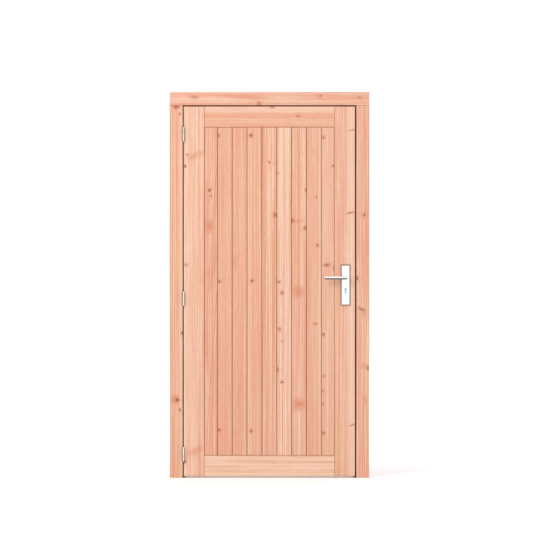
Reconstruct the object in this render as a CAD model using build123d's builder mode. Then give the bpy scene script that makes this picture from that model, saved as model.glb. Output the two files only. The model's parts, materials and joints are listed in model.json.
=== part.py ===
from build123d import *
import os
from math import sqrt

# Single boarded timber door: a framed leaf of tongued boards, hung on butt hinges in a timber frame.
# The origin lies on the outer side face of the hinge jamb, at floor level and half way through the frame.
# X runs across the door towards the lock, Y runs from the front face to the back, and Z is up.
# All sizes are in millimetres.

# Leaf and the gaps around it
LEAF_WIDTH = 930
LEAF_HEIGHT = 2005
LEAF_THICKNESS = 40
HINGE_GAP = 5
LOCK_GAP = 6.5
HEAD_GAP = 5
FLOOR_GAP = 8
STOP_GAP = 5

# Fixed frame
JAMB_FACE = 70
HEAD_FACE = 72
FRAME_DEPTH = 70
STOP_PROJECTION = 15
STOP_CHAMFER = 5
ARRIS_RADIUS = 2

# Stiles and rails of the leaf
STILE_WIDTH = 112
RAIL_WIDTH = 112
TENON_LENGTH = 45
TENON_SETBACK = 20

# Tongued boards
BOARD_COVER_WIDTH = 80.5
EDGE_BOARD_LEAST = 45
BOARD_THICKNESS = 22
BOARD_RECESS = 3
BOARD_GAP = 1
BOARD_CHAMFER = 2.5
TONGUE_THICKNESS = 8
TONGUE_LENGTH = 9
GROOVE_DEPTH = 10

# Butt hinges
TOP_HINGE_FROM_TOP = 152
BOTTOM_HINGE_FROM_BOTTOM = 119
MIDDLE_HINGE_LOWERED = 23
HINGE_LENGTH = 76
KNUCKLE_COUNT = 3
KNUCKLE_RADIUS = 6.5
KNUCKLE_STANDOFF = 1
KNUCKLE_GAP = 0.3
HINGE_PLATE_DEPTH = 28.5
HINGE_PLATE_THICKNESS = 2.5
HINGE_PLATE_CORNER = 6
PIN_RADIUS = 3.5
PIN_CLEARANCE = 0.05
PIN_PROUD = 1.5

# Lever furniture
LEVER_HEIGHT = 1084
LOCK_BACKSET = 52
LEVER_RADIUS = 9.5
LEVER_LENGTH = 114
LEVER_STANDOFF = 48
LEVER_TIP_CHAMFER = 2
LEVER_CLEARANCE = 0.3
LEVER_END_GAP = 1
PLATE_WIDTH = 46
PLATE_HEIGHT = 216
PLATE_ABOVE_LEVER = 68
PLATE_THICKNESS = 8
PLATE_CORNER = 6
PLATE_BEVEL = 4
SPINDLE_SIZE = 8
SPINDLE_SOCKET = 24
BORE_CLEARANCE = 1.5

# Profile cylinder
CYLINDER_DROP = 63
CYLINDER_RADIUS = 8.5
CYLINDER_STEM_WIDTH = 10
CYLINDER_TALL = 33
CYLINDER_PROUD = 2
CYLINDER_CLEARANCE = 0.25
PLUG_RADIUS = 6.25
PLUG_LENGTH = 20
PLUG_CLEARANCE = 0.1
KEYWAY_WIDTH = 2.2
KEYWAY_HEIGHT = 8.5
KEYWAY_DEPTH = 14

# Mortise lock and strike
FOREND_WIDTH = 20
FOREND_THICKNESS = 3
FOREND_MARGIN = 35
CASE_THICKNESS = 15
CASE_DEPTH = 85
CASE_ABOVE_LEVER = 48
CASE_HEIGHT = 165
BOLT_THICKNESS = 11
BOLT_DEPTH = 30
BOLT_PROUD = 0.5
BOLT_CLEARANCE = 0.3
LATCH_HEIGHT = 28
DEAD_BOLT_HEIGHT = 34
DEAD_BOLT_DROP = 66
STRIKE_RIM = 3
STRIKE_THICKNESS = 2.5
STRIKE_MARGIN = 26
STRIKE_OPENING_SPREAD = 2.5
STRIKE_POCKET_DEPTH = 16

# Places across the door, from the hinge jamb's outer face
LEAF_LEFT = JAMB_FACE + HINGE_GAP
LEAF_RIGHT = LEAF_LEFT + LEAF_WIDTH
LOCK_JAMB_LEFT = LEAF_RIGHT + LOCK_GAP
FRAME_WIDTH = LOCK_JAMB_LEFT + JAMB_FACE
PANEL_LEFT = LEAF_LEFT + STILE_WIDTH
PANEL_RIGHT = LEAF_RIGHT - STILE_WIDTH
PANEL_WIDTH = PANEL_RIGHT - PANEL_LEFT
LEVER_X = LEAF_RIGHT - LOCK_BACKSET

# Places through the door, from the frame's mid-plane
FRONT = -FRAME_DEPTH / 2
BACK = FRAME_DEPTH / 2
LEAF_MIDDLE = FRONT + LEAF_THICKNESS / 2
STOP_FRONT = FRONT + LEAF_THICKNESS + STOP_GAP
BOARD_MIDDLE = FRONT + BOARD_RECESS + BOARD_THICKNESS / 2

# Places up the door, from the floor
LEAF_BOTTOM = FLOOR_GAP
LEAF_TOP = LEAF_BOTTOM + LEAF_HEIGHT
HEAD_BOTTOM = LEAF_TOP + HEAD_GAP
PANEL_BOTTOM = LEAF_BOTTOM + RAIL_WIDTH
PANEL_TOP = LEAF_TOP - RAIL_WIDTH
PLATE_MIDDLE_Z = LEVER_HEIGHT + PLATE_ABOVE_LEVER - PLATE_HEIGHT / 2
CYLINDER_Z = LEVER_HEIGHT - CYLINDER_DROP
CASE_MIDDLE_Z = LEVER_HEIGHT + CASE_ABOVE_LEVER - CASE_HEIGHT / 2

# Hinge axis: in the middle of the gap, just in front of the leaf's face
HINGE_X = JAMB_FACE + HINGE_GAP / 2
HINGE_Y = FRONT - KNUCKLE_RADIUS - KNUCKLE_STANDOFF
TOP_HINGE_Z = LEAF_TOP - TOP_HINGE_FROM_TOP
BOTTOM_HINGE_Z = LEAF_BOTTOM + BOTTOM_HINGE_FROM_BOTTOM
MIDDLE_HINGE_Z = (TOP_HINGE_Z + BOTTOM_HINGE_Z) / 2 - MIDDLE_HINGE_LOWERED
HINGE_HEIGHTS = {"top": TOP_HINGE_Z, "middle": MIDDLE_HINGE_Z, "bottom": BOTTOM_HINGE_Z}

# Each bolt's middle height and its own height
BOLTS = {
    "latch_bolt": (LEVER_HEIGHT, LATCH_HEIGHT),
    "dead_bolt": (LEVER_HEIGHT - DEAD_BOLT_DROP, DEAD_BOLT_HEIGHT),
}

# Half the square spindle's width across its corners
SPINDLE_REACH = SPINDLE_SIZE / sqrt(2)

LOW = (Align.MIN, Align.MIN)
MID_LOW = (Align.CENTER, Align.MIN)
LOW_MID = (Align.MIN, Align.CENTER)


def front_plane(x, y, z):
    """A plane that faces the front, with its own X across the door and its own Y up."""
    return Plane(origin=(x, y, z), x_dir=(1, 0, 0), z_dir=(0, -1, 0))


def lock_side_plane(x, y, z):
    """A plane that faces the lock jamb, with its own X towards the back and its own Y up."""
    return Plane(origin=(x, y, z), x_dir=(0, 1, 0), z_dir=(1, 0, 0))


# Fixed frame


def make_jamb(left):
    """One plain upright of the frame, with eased long edges."""
    with BuildPart() as jamb:
        with BuildSketch(Plane.XY):
            with Locations((left, FRONT)):
                Rectangle(JAMB_FACE, FRAME_DEPTH, align=LOW)
        extrude(amount=HEAD_BOTTOM)
        fillet(jamb.edges().filter_by(Axis.Z), ARRIS_RADIUS)
    return jamb.part


def make_hinge_jamb():
    """The jamb on the hinge side, with a recess for each hinge plate."""
    with BuildPart() as jamb:
        add(make_jamb(0))
        for height in HINGE_HEIGHTS.values():
            with BuildSketch(lock_side_plane(JAMB_FACE, FRONT, height)):
                draw_hinge_plate()
            extrude(amount=-HINGE_PLATE_THICKNESS, mode=Mode.SUBTRACT)
    return jamb.part


def make_lock_jamb():
    """The jamb on the lock side, with a recess for the strike and pockets behind its openings."""
    with BuildPart() as jamb:
        add(make_jamb(LOCK_JAMB_LEFT))
        with BuildSketch(lock_side_plane(LOCK_JAMB_LEFT, LEAF_MIDDLE, 0)):
            draw_strike_outline()
        extrude(amount=STRIKE_THICKNESS, mode=Mode.SUBTRACT)
        with BuildSketch(lock_side_plane(LOCK_JAMB_LEFT, LEAF_MIDDLE, 0)):
            draw_bolts(STRIKE_OPENING_SPREAD)
        extrude(amount=STRIKE_POCKET_DEPTH, mode=Mode.SUBTRACT)
    return jamb.part


def make_head():
    """The head of the frame, which lies on both jambs."""
    with BuildPart() as head:
        with BuildSketch(Plane.YZ):
            with Locations((FRONT, HEAD_BOTTOM)):
                Rectangle(FRAME_DEPTH, HEAD_FACE, align=LOW)
        extrude(amount=FRAME_WIDTH)
        fillet(head.edges().filter_by(Axis.X), ARRIS_RADIUS)
    return head.part


def make_hinge_stop():
    """The stop strip on the hinge jamb, chamfered along its edge towards the back of the opening."""
    with BuildPart() as stop:
        with BuildSketch(Plane.XY):
            with Locations((JAMB_FACE, STOP_FRONT)):
                Rectangle(STOP_PROJECTION, BACK - STOP_FRONT, align=LOW)
        extrude(amount=HEAD_BOTTOM - STOP_PROJECTION)
        chamfer(stop.edges().filter_by(Axis.Z).group_by(Axis.X)[-1].sort_by(Axis.Y)[-1], STOP_CHAMFER)
    return stop.part


def make_head_stop():
    """The stop strip under the head, from jamb to jamb, chamfered like the other stops."""
    with BuildPart() as stop:
        with BuildSketch(Plane.YZ.offset(JAMB_FACE)):
            with Locations((STOP_FRONT, HEAD_BOTTOM - STOP_PROJECTION)):
                Rectangle(BACK - STOP_FRONT, STOP_PROJECTION, align=LOW)
        extrude(amount=LOCK_JAMB_LEFT - JAMB_FACE)
        chamfer(stop.edges().filter_by(Axis.X).group_by(Axis.Z)[0].sort_by(Axis.Y)[-1], STOP_CHAMFER)
    return stop.part


# Stiles and rails of the leaf


def tenon_width():
    """The width of a rail's long tenon, between its haunch and its groove."""
    return RAIL_WIDTH - GROOVE_DEPTH - TENON_SETBACK


def make_stile(left, inner_edge, into_stile):
    """One stile, grooved for the boards and mortised for both rails from its inner edge."""
    tenon_middle = TENON_SETBACK + tenon_width() / 2
    with BuildPart() as stile:
        with BuildSketch(Plane.XY.offset(LEAF_BOTTOM)):
            with Locations((left, FRONT)):
                Rectangle(STILE_WIDTH, LEAF_THICKNESS, align=LOW)
        extrude(amount=LEAF_HEIGHT)
        fillet(stile.edges().filter_by(Axis.Z), ARRIS_RADIUS)
        with BuildSketch(lock_side_plane(inner_edge, BOARD_MIDDLE, LEAF_BOTTOM)):
            Rectangle(TONGUE_THICKNESS, LEAF_HEIGHT, align=MID_LOW)
        extrude(amount=into_stile * GROOVE_DEPTH, mode=Mode.SUBTRACT)
        with BuildSketch(lock_side_plane(inner_edge, BOARD_MIDDLE, LEAF_BOTTOM)):
            with Locations((0, tenon_middle), (0, LEAF_HEIGHT - tenon_middle)):
                Rectangle(TONGUE_THICKNESS, tenon_width())
        extrude(amount=into_stile * TENON_LENGTH, mode=Mode.SUBTRACT)
    return stile.part


def make_hinge_stile():
    """The stile on the hinge side, with a recess for each hinge plate."""
    with BuildPart() as stile:
        add(make_stile(LEAF_LEFT, PANEL_LEFT, into_stile=-1))
        for height in HINGE_HEIGHTS.values():
            with BuildSketch(lock_side_plane(LEAF_LEFT, FRONT, height)):
                draw_hinge_plate()
            extrude(amount=HINGE_PLATE_THICKNESS, mode=Mode.SUBTRACT)
    return stile.part


def make_lock_stile():
    """The stile on the lock side, mortised for the lock and bored for the spindle and the cylinder."""
    with BuildPart() as stile:
        add(make_stile(PANEL_RIGHT, PANEL_RIGHT, into_stile=1))
        with BuildSketch(lock_side_plane(LEAF_RIGHT, LEAF_MIDDLE, CASE_MIDDLE_Z)):
            draw_forend()
        extrude(amount=-FOREND_THICKNESS, mode=Mode.SUBTRACT)
        with BuildSketch(lock_side_plane(LEAF_RIGHT, LEAF_MIDDLE, CASE_MIDDLE_Z)):
            Rectangle(CASE_THICKNESS, CASE_HEIGHT)
        extrude(amount=-(FOREND_THICKNESS + CASE_DEPTH), mode=Mode.SUBTRACT)
        with BuildSketch(front_plane(LEVER_X, FRONT, LEVER_HEIGHT)):
            draw_lock_holes(BORE_CLEARANCE)
        extrude(amount=-LEAF_THICKNESS, mode=Mode.SUBTRACT)
    return stile.part


def make_rail(outer_edge, inward):
    """One rail, grooved for the board ends, with a haunched tenon at each end."""
    inner_edge = outer_edge + inward * RAIL_WIDTH
    groove_bottom = inner_edge - inward * GROOVE_DEPTH
    tenon_outer = outer_edge + inward * TENON_SETBACK
    with BuildPart() as rail:
        with BuildSketch(Plane.YZ.offset(PANEL_LEFT)):
            with Locations((LEAF_MIDDLE, (outer_edge + inner_edge) / 2)):
                Rectangle(LEAF_THICKNESS, RAIL_WIDTH)
        extrude(amount=PANEL_WIDTH)
        fillet(rail.edges().filter_by(Axis.X), ARRIS_RADIUS)
        with BuildSketch(Plane.YZ.offset(PANEL_LEFT)):
            with Locations((BOARD_MIDDLE, (inner_edge + groove_bottom) / 2)):
                Rectangle(TONGUE_THICKNESS, GROOVE_DEPTH)
        extrude(amount=PANEL_WIDTH, mode=Mode.SUBTRACT)
        with BuildSketch(front_plane((PANEL_LEFT + PANEL_RIGHT) / 2, BOARD_MIDDLE, 0)):
            with Locations((0, (outer_edge + groove_bottom) / 2)):
                Rectangle(PANEL_WIDTH + 2 * GROOVE_DEPTH, RAIL_WIDTH - GROOVE_DEPTH)
            with Locations((0, (tenon_outer + groove_bottom) / 2)):
                Rectangle(PANEL_WIDTH + 2 * TENON_LENGTH, tenon_width())
        extrude(amount=TONGUE_THICKNESS / 2, both=True)
    return rail.part


# Boards of the leaf


def make_board(left, cover, left_tongue):
    """One V-jointed board: tongues at its ends and its right edge, and a groove or tongue at its left."""
    low = PANEL_BOTTOM + BOARD_GAP
    tall = PANEL_TOP - PANEL_BOTTOM - 2 * BOARD_GAP
    wide = cover - BOARD_GAP
    corner = front_plane(left + BOARD_GAP / 2, BOARD_MIDDLE, low)
    with BuildPart() as board:
        with BuildSketch(corner):
            Rectangle(wide, tall, align=LOW)
        extrude(amount=BOARD_THICKNESS / 2, both=True)
        chamfer(board.faces().filter_by(Axis.Y).edges(), BOARD_CHAMFER)
        with BuildSketch(corner):
            with Locations((-left_tongue, -TONGUE_LENGTH)):
                Rectangle(left_tongue + wide + TONGUE_LENGTH, tall + 2 * TONGUE_LENGTH, align=LOW)
        extrude(amount=TONGUE_THICKNESS / 2, both=True)
        if not left_tongue:
            with BuildSketch(corner):
                with Locations((0, -TONGUE_LENGTH)):
                    Rectangle(GROOVE_DEPTH, tall + 2 * TONGUE_LENGTH, align=LOW)
            extrude(amount=TONGUE_THICKNESS / 2, both=True, mode=Mode.SUBTRACT)
    return board.part


def make_boards():
    """All boards from stile to stile: as many full boards as fit between two narrower edge boards."""
    full_boards = int((PANEL_WIDTH - 2 * EDGE_BOARD_LEAST) // BOARD_COVER_WIDTH)
    edge_cover = (PANEL_WIDTH - full_boards * BOARD_COVER_WIDTH) / 2
    boards = {"board_1": make_board(PANEL_LEFT, edge_cover, TONGUE_LENGTH)}
    left = PANEL_LEFT + edge_cover
    for cover in [BOARD_COVER_WIDTH] * full_boards + [edge_cover]:
        boards[f"board_{len(boards) + 1}"] = make_board(left, cover, 0)
        left += cover
    return boards


# Hinges


def draw_hinge_plate():
    """The flat of a hinge plate, from the wood's front face back, with its two far corners rounded."""
    Rectangle(HINGE_PLATE_DEPTH, HINGE_LENGTH, align=LOW_MID)
    fillet(vertices().group_by(Axis.X)[-1], HINGE_PLATE_CORNER)


def make_hinge_plate(height, wood_face, into_wood, knuckles, bore_radius):
    """One half of a butt hinge: a plate let into the wood, rolled into its share of the knuckles."""
    pitch = HINGE_LENGTH / KNUCKLE_COUNT
    low = height - HINGE_LENGTH / 2
    with BuildPart() as plate:
        with BuildSketch(lock_side_plane(wood_face, FRONT, height)):
            draw_hinge_plate()
        extrude(amount=into_wood * HINGE_PLATE_THICKNESS)
        for knuckle in knuckles:
            with BuildSketch(Plane.XY.offset(low + knuckle * pitch + KNUCKLE_GAP / 2)):
                with Locations((wood_face + into_wood * HINGE_PLATE_THICKNESS / 2, HINGE_Y)):
                    Rectangle(HINGE_PLATE_THICKNESS, FRONT + HINGE_PLATE_DEPTH / 2 - HINGE_Y, align=MID_LOW)
                with Locations((HINGE_X, HINGE_Y)):
                    Circle(KNUCKLE_RADIUS)
                    Circle(bore_radius, mode=Mode.SUBTRACT)
            extrude(amount=pitch - KNUCKLE_GAP)
    return plate.part


def make_hinge_pin(height):
    """The pin through one hinge's knuckles, with its flat ends just proud of them."""
    with BuildPart() as pin:
        with BuildSketch(Plane.XY.offset(height)):
            with Locations((HINGE_X, HINGE_Y)):
                Circle(PIN_RADIUS)
        extrude(amount=HINGE_LENGTH / 2 + PIN_PROUD, both=True)
    return pin.part


# Lock, strike and cylinder


def draw_cylinder_profile(spread):
    """The section of a profile cylinder: a round head over a narrower stem with a round end."""
    stem_radius = CYLINDER_STEM_WIDTH / 2
    stem_drop = CYLINDER_TALL - CYLINDER_RADIUS - stem_radius
    Circle(CYLINDER_RADIUS + spread)
    with Locations((0, -stem_drop)):
        Circle(stem_radius + spread)
        Rectangle(2 * (stem_radius + spread), stem_drop, align=MID_LOW)


def draw_lock_holes(spread):
    """The holes for the turning spindle and for the cylinder, about the lever's axis."""
    Circle(SPINDLE_REACH + BORE_CLEARANCE)
    with Locations((0, -CYLINDER_DROP)):
        draw_cylinder_profile(spread)


def draw_forend():
    """The round-ended face of the lock, about the middle of its case."""
    SlotOverall(CASE_HEIGHT + 2 * FOREND_MARGIN, FOREND_WIDTH, rotation=90)


def draw_bolts(spread):
    """The sections of the latch bolt and the dead bolt, each at its own height."""
    for middle, tall in BOLTS.values():
        with Locations((0, middle)):
            Rectangle(BOLT_THICKNESS + 2 * spread, tall + 2 * spread)


def draw_strike_outline():
    """The round-ended outline of the strike, which reaches past both of its openings."""
    top = LEVER_HEIGHT + LATCH_HEIGHT / 2 + STRIKE_MARGIN
    bottom = LEVER_HEIGHT - DEAD_BOLT_DROP - DEAD_BOLT_HEIGHT / 2 - STRIKE_MARGIN
    wide = BOLT_THICKNESS + 2 * STRIKE_OPENING_SPREAD + 2 * STRIKE_RIM
    with Locations((0, (top + bottom) / 2)):
        SlotOverall(top - bottom, wide, rotation=90)


def make_strike_plate():
    """The strike, let flush into the lock jamb, with an opening for each bolt."""
    with BuildPart() as strike:
        with BuildSketch(lock_side_plane(LOCK_JAMB_LEFT, LEAF_MIDDLE, 0)):
            draw_strike_outline()
        extrude(amount=STRIKE_THICKNESS)
        with BuildSketch(lock_side_plane(LOCK_JAMB_LEFT, LEAF_MIDDLE, 0)):
            draw_bolts(STRIKE_OPENING_SPREAD)
        extrude(amount=STRIKE_THICKNESS, mode=Mode.SUBTRACT)
    return strike.part


def make_lock_case():
    """The mortise lock: a forend on a case, with pockets for both bolts and holes through its sides."""
    with BuildPart() as lock:
        with BuildSketch(lock_side_plane(LEAF_RIGHT, LEAF_MIDDLE, CASE_MIDDLE_Z)):
            draw_forend()
        extrude(amount=-FOREND_THICKNESS)
        with BuildSketch(lock_side_plane(LEAF_RIGHT - FOREND_THICKNESS, LEAF_MIDDLE, CASE_MIDDLE_Z)):
            Rectangle(CASE_THICKNESS, CASE_HEIGHT)
        extrude(amount=-CASE_DEPTH)
        with BuildSketch(lock_side_plane(LEAF_RIGHT, LEAF_MIDDLE, 0)):
            draw_bolts(BOLT_CLEARANCE)
        extrude(amount=-BOLT_DEPTH, mode=Mode.SUBTRACT)
        with BuildSketch(front_plane(LEVER_X, LEAF_MIDDLE, LEVER_HEIGHT)):
            draw_lock_holes(CYLINDER_CLEARANCE)
        extrude(amount=CASE_THICKNESS / 2, both=True, mode=Mode.SUBTRACT)
    return lock.part


def make_bolt(middle, tall):
    """One bolt of the lock, drawn back until its nose stands just proud of the forend."""
    with BuildPart() as bolt:
        with BuildSketch(lock_side_plane(LEAF_RIGHT + BOLT_PROUD, LEAF_MIDDLE, middle)):
            Rectangle(BOLT_THICKNESS, tall)
        extrude(amount=-(BOLT_DEPTH + BOLT_PROUD))
        chamfer(bolt.faces().sort_by(Axis.X)[-1].edges(), BOLT_PROUD)
    return bolt.part


def cylinder_half():
    """Half the cylinder's length, from the leaf's middle to just past the face of a plate."""
    return LEAF_THICKNESS / 2 + PLATE_THICKNESS + CYLINDER_PROUD


def make_cylinder():
    """The profile cylinder through the lock, bored at both ends for its plugs."""
    with BuildPart() as cylinder:
        with BuildSketch(front_plane(LEVER_X, LEAF_MIDDLE, CYLINDER_Z)):
            draw_cylinder_profile(0)
        extrude(amount=cylinder_half(), both=True)
        for end in (-1, 1):
            with BuildSketch(front_plane(LEVER_X, LEAF_MIDDLE + end * cylinder_half(), CYLINDER_Z)):
                Circle(PLUG_RADIUS + PLUG_CLEARANCE)
            extrude(amount=end * PLUG_LENGTH, mode=Mode.SUBTRACT)
    return cylinder.part


def make_front_plug():
    """The plug in the cylinder's front end, with its keyway."""
    face = front_plane(LEVER_X, LEAF_MIDDLE - cylinder_half(), CYLINDER_Z)
    with BuildPart() as plug:
        with BuildSketch(face):
            Circle(PLUG_RADIUS)
        extrude(amount=-PLUG_LENGTH)
        with BuildSketch(face):
            Rectangle(KEYWAY_WIDTH, KEYWAY_HEIGHT)
        extrude(amount=-KEYWAY_DEPTH, mode=Mode.SUBTRACT)
    return plug.part


# Lever furniture


def make_front_plate():
    """The long bevelled plate behind the front lever, pierced for the lever's neck and the cylinder."""
    with BuildPart() as plate:
        with BuildSketch(front_plane(LEVER_X, FRONT, PLATE_MIDDLE_Z)):
            RectangleRounded(PLATE_WIDTH, PLATE_HEIGHT, PLATE_CORNER)
        extrude(amount=PLATE_THICKNESS)
        chamfer(plate.faces().sort_by(Axis.Y)[0].edges(), PLATE_BEVEL)
        with BuildSketch(front_plane(LEVER_X, FRONT, LEVER_HEIGHT)):
            Circle(LEVER_RADIUS + LEVER_CLEARANCE)
            with Locations((0, -CYLINDER_DROP)):
                draw_cylinder_profile(CYLINDER_CLEARANCE)
        extrude(amount=PLATE_THICKNESS, mode=Mode.SUBTRACT)
    return plate.part


def make_front_lever():
    """The front lever: a round bar that leaves the plate, turns in a mitre and ends in a chamfer."""
    root = (LEVER_X, FRONT - LEVER_END_GAP, LEVER_HEIGHT)
    elbow = (LEVER_X, FRONT - LEVER_STANDOFF, LEVER_HEIGHT)
    tip = (LEVER_X - LEVER_LENGTH, FRONT - LEVER_STANDOFF, LEVER_HEIGHT)
    with BuildPart() as lever:
        with BuildLine():
            Polyline(root, elbow, tip)
        with BuildSketch(front_plane(*root)):
            Circle(LEVER_RADIUS)
        sweep(transition=Transition.RIGHT)
        chamfer(lever.faces().sort_by(Axis.X)[0].edges(), LEVER_TIP_CHAMFER)
        with BuildSketch(front_plane(*root)):
            Rectangle(SPINDLE_SIZE, SPINDLE_SIZE)
        extrude(amount=SPINDLE_SOCKET, mode=Mode.SUBTRACT)
    return lever.part


def make_spindle():
    """The square bar that joins both levers through the lock."""
    with BuildPart() as spindle:
        with BuildSketch(front_plane(LEVER_X, LEAF_MIDDLE, LEVER_HEIGHT)):
            Rectangle(SPINDLE_SIZE, SPINDLE_SIZE)
        extrude(amount=LEAF_THICKNESS / 2 + LEVER_END_GAP + SPINDLE_SOCKET, both=True)
    return spindle.part


# Whole door


def mirrored(piece, plane):
    """The same piece on the other side of a plane."""
    with BuildPart() as other_piece:
        mirror(piece, about=plane)
    return other_piece.part


def make_hinges():
    """The two plates and the pin of each hinge, with the pin fast in the jamb's plate."""
    jamb_knuckles = range(0, KNUCKLE_COUNT, 2)
    leaf_knuckles = range(1, KNUCKLE_COUNT, 2)
    hinges = {}
    for place, height in HINGE_HEIGHTS.items():
        hinges[f"{place}_hinge_jamb_plate"] = make_hinge_plate(
            height, JAMB_FACE, -1, jamb_knuckles, PIN_RADIUS)
        hinges[f"{place}_hinge_leaf_plate"] = make_hinge_plate(
            height, LEAF_LEFT, 1, leaf_knuckles, PIN_RADIUS + PIN_CLEARANCE)
        hinges[f"{place}_hinge_pin"] = make_hinge_pin(height)
    return hinges


def make_door():
    """Every piece of the door, by the name of its node."""
    leaf_mid_plane = front_plane(0, LEAF_MIDDLE, 0)
    opening_mid_plane = lock_side_plane((JAMB_FACE + LOCK_JAMB_LEFT) / 2, 0, 0)
    pieces = {
        "hinge_jamb": make_hinge_jamb(),
        "lock_jamb": make_lock_jamb(),
        "frame_head": make_head(),
        "hinge_stop": make_hinge_stop(),
        "head_stop": make_head_stop(),
        "strike_plate": make_strike_plate(),
        "hinge_stile": make_hinge_stile(),
        "lock_stile": make_lock_stile(),
        "top_rail": make_rail(LEAF_TOP, inward=-1),
        "bottom_rail": make_rail(LEAF_BOTTOM, inward=1),
        "lock_case": make_lock_case(),
        "lock_cylinder": make_cylinder(),
        "front_plug": make_front_plug(),
        "front_plate": make_front_plate(),
        "front_lever": make_front_lever(),
        "spindle": make_spindle(),
    }
    pieces["lock_stop"] = mirrored(pieces["hinge_stop"], opening_mid_plane)
    for piece in ("plug", "plate", "lever"):
        pieces[f"back_{piece}"] = mirrored(pieces[f"front_{piece}"], leaf_mid_plane)
    for name, (middle, tall) in BOLTS.items():
        pieces[name] = make_bolt(middle, tall)
    return pieces | make_boards() | make_hinges()


os.makedirs("parts", exist_ok=True)
for name, piece in make_door().items():
    piece.label = name
    export_step(piece, f"parts/{name}.step")
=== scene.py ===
# %% [markdown]
# # A boarded timber door in its frame
#
# The CAD model gives every piece its true shape, size and place. This lesson dresses it: wood
# grain and knots on each timber, a finish on each metal, and the screws and nails that hold it
# together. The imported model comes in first, and its box is kept, because nothing that is added
# may make the door bigger.

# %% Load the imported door
import json
import math

import bmesh
import bpy
from mathutils import Matrix, Vector


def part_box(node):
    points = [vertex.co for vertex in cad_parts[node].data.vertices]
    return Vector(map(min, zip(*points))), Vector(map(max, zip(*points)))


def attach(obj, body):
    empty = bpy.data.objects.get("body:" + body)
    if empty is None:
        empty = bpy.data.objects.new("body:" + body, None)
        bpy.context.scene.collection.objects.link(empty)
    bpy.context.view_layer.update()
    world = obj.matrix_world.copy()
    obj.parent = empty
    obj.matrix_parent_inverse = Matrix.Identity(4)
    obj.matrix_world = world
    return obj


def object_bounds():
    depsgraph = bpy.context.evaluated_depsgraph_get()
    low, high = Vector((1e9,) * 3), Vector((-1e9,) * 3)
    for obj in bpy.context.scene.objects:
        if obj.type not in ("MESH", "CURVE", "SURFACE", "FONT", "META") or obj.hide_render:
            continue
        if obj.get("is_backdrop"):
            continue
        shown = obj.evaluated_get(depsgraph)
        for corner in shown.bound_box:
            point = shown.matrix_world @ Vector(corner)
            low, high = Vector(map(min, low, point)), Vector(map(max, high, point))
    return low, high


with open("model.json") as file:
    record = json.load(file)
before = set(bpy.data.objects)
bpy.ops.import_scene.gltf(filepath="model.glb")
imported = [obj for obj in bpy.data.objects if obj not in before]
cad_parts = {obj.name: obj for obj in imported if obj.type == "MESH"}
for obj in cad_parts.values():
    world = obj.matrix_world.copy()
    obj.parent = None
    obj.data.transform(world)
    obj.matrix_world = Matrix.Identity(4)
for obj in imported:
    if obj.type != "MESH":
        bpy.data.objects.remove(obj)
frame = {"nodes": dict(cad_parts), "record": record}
nodes = frame["nodes"]
cad_low, cad_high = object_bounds()
print(len(nodes), "pieces from", tuple(cad_low), "to", tuple(cad_high))

# %% [markdown]
# ## A short way to write shader maths
#
# A wood shader is mostly arithmetic: distances, waves and masks. Joining dozens of Math nodes by
# hand hides the idea, so one small class stands for a socket and lets sums be written as sums.
# Every other node comes from one method that sets the node up and fills its sockets.


# %% Sockets that can be added and multiplied
class Wire:
    """An output socket of a material's node tree."""

    def __init__(self, paint, socket):
        self.paint, self.socket = paint, socket

    def math(self, operation, *values):
        return self.paint.node("ShaderNodeMath", {"operation": operation}, dict(enumerate(values)))

    def __add__(self, other):
        return self.math("ADD", self, other)

    def __sub__(self, other):
        return self.math("SUBTRACT", self, other)

    def __rsub__(self, other):
        return self.math("SUBTRACT", other, self)

    def __mul__(self, other):
        return self.math("MULTIPLY", self, other)

    def __truediv__(self, other):
        return self.math("DIVIDE", self, other)

    __radd__, __rmul__ = __add__, __mul__


class Paint:
    """The node tree of a material or of a world, and the ways to add nodes to it."""

    def __init__(self, owner):
        owner.use_nodes = True
        self.owner, self.tree = owner, owner.node_tree
        self.surface = self.tree.nodes.get("Principled BSDF")

    def fill(self, node, sockets):
        for name, value in sockets.items():
            if isinstance(value, Wire):
                self.tree.links.new(value.socket, node.inputs[name])
            else:
                node.inputs[name].default_value = value

    def node(self, kind, settings=None, sockets=None, output=0):
        made = self.tree.nodes.new(kind)
        for name, value in (settings or {}).items():
            setattr(made, name, value)
        self.fill(made, sockets or {})
        return Wire(self, made.outputs[output])

    def split(self, vector):
        """The X, Y and Z of a vector."""
        made = self.node("ShaderNodeSeparateXYZ", None, {0: vector}).socket.node
        return [Wire(self, output) for output in made.outputs]

    def noise(self, place, stretch, seed, detail=2.0, roughness=0.5):
        """Noise from 0 to 1, with stretch waves a metre along each axis."""
        scaled = self.node("ShaderNodeVectorMath", {"operation": "MULTIPLY"}, {0: place, 1: stretch})
        sockets = {"Vector": scaled, "W": seed, "Scale": 1.0, "Detail": detail, "Roughness": roughness}
        return self.node("ShaderNodeTexNoise", {"noise_dimensions": "4D"}, sockets)

    def step(self, value, start, end, low=0.0, high=1.0):
        """Goes smoothly from low to high as value goes from start to end."""
        sockets = {"Value": value, "From Min": start, "From Max": end, "To Min": low, "To Max": high}
        return self.node("ShaderNodeMapRange", {"interpolation_type": "SMOOTHSTEP"}, sockets)

    def mix(self, share, under, over):
        """The colour under, with a share of the colour over."""
        settings = {"data_type": "RGBA", "clamp_factor": True}
        return self.node("ShaderNodeMix", settings, {0: share, 6: under, 7: over}, output=2)

    def bump(self, height, depth, strength):
        sockets = {"Height": height, "Distance": depth, "Strength": strength}
        return self.node("ShaderNodeBump", None, sockets)

    def seen(self):
        """1 for the rays that make a picture: from the camera, off a mirror or through glass."""
        rays = self.node("ShaderNodeLightPath").socket.node.outputs
        kinds = ("Camera", "Glossy", "Transmission")
        camera, glossy, through = (Wire(self, rays[f"Is {kind} Ray"]) for kind in kinds)
        return camera.math("MAXIMUM", camera.math("MAXIMUM", camera, glossy), through)


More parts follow.
